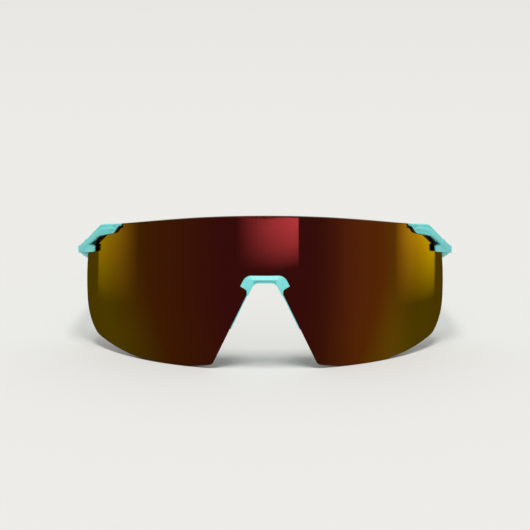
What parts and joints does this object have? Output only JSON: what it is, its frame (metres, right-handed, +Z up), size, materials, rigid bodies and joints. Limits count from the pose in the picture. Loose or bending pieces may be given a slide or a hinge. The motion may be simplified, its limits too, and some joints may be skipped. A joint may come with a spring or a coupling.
{
  "type": "sunglasses",
  "caption": "Rimless wrap-around shield sunglasses: one mirrored curved lens, clip-in nose bridge with soft pads, corner endpieces and two folding temples with rubber tips.",
  "frame": {"origin": "middle of the footprint, on the surface that the open glasses stand on", "axes": "+Z up, -Y out of the front of the lens, +X towards the wearer's left"},
  "size_m": [0.1466, 0.1588, 0.0584],
  "materials": {
    "mirror_coated_polycarbonate": "photochromic lens with a red and gold mirror coating",
    "turquoise_nylon": "satin injection moulded nylon",
    "turquoise_elastomer": "soft matt moulded elastomer",
    "black_rubber": "matt moulded rubber",
    "black_nylon": "fine matt moulded nylon",
    "steel": "turned stainless steel"
  },
  "bodies": {
    "front": {"lens": "mirror_coated_polycarbonate", "nose_bridge": "turquoise_nylon", "endpiece_left": "turquoise_nylon", "endpiece_right": "turquoise_nylon", "lens_gasket_left": "black_rubber", "lens_gasket_right": "black_rubber", "clamp_plate_left": "black_nylon", "clamp_plate_right": "black_nylon", "hinge_pin_left": "steel", "hinge_pin_right": "steel", "clamp_screws": "steel"},
    "temple_left": {"temple_arm_left": "turquoise_nylon", "temple_grip_left": "black_rubber", "temple_tip_left": "black_rubber"},
    "temple_right": {"temple_arm_right": "turquoise_nylon", "temple_grip_right": "black_rubber", "temple_tip_right": "black_rubber"},
    "pad_left": {"nose_pad_left": "turquoise_elastomer", "pad_core_left": "steel"},
    "pad_right": {"nose_pad_right": "turquoise_elastomer", "pad_core_right": "steel"}
  },
  "joints": [
    {"name": "temple_fold_left", "type": "hinge", "parent": "front", "child": "temple_left", "pos_m": [0.0691, -0.03312, 0.0369], "axis": [0, 0, 1], "range_deg": [0, 92]},
    {"name": "temple_fold_right", "type": "hinge", "parent": "front", "child": "temple_right", "pos_m": [-0.0691, -0.03312, 0.0369], "axis": [0, 0, -1], "range_deg": [0, 76]},
    {"name": "pad_bend_left", "type": "hinge", "parent": "front", "child": "pad_left", "pos_m": [0.01101, -0.07434, 0.0224], "axis": [0.4289, -0.0473, -0.9021], "range_deg": [-8, 8]},
    {"name": "pad_bend_right", "type": "hinge", "parent": "front", "child": "pad_right", "pos_m": [-0.01101, -0.07434, 0.0224], "axis": [0.4289, 0.0473, 0.9021], "range_deg": [-8, 8]}
  ]
}
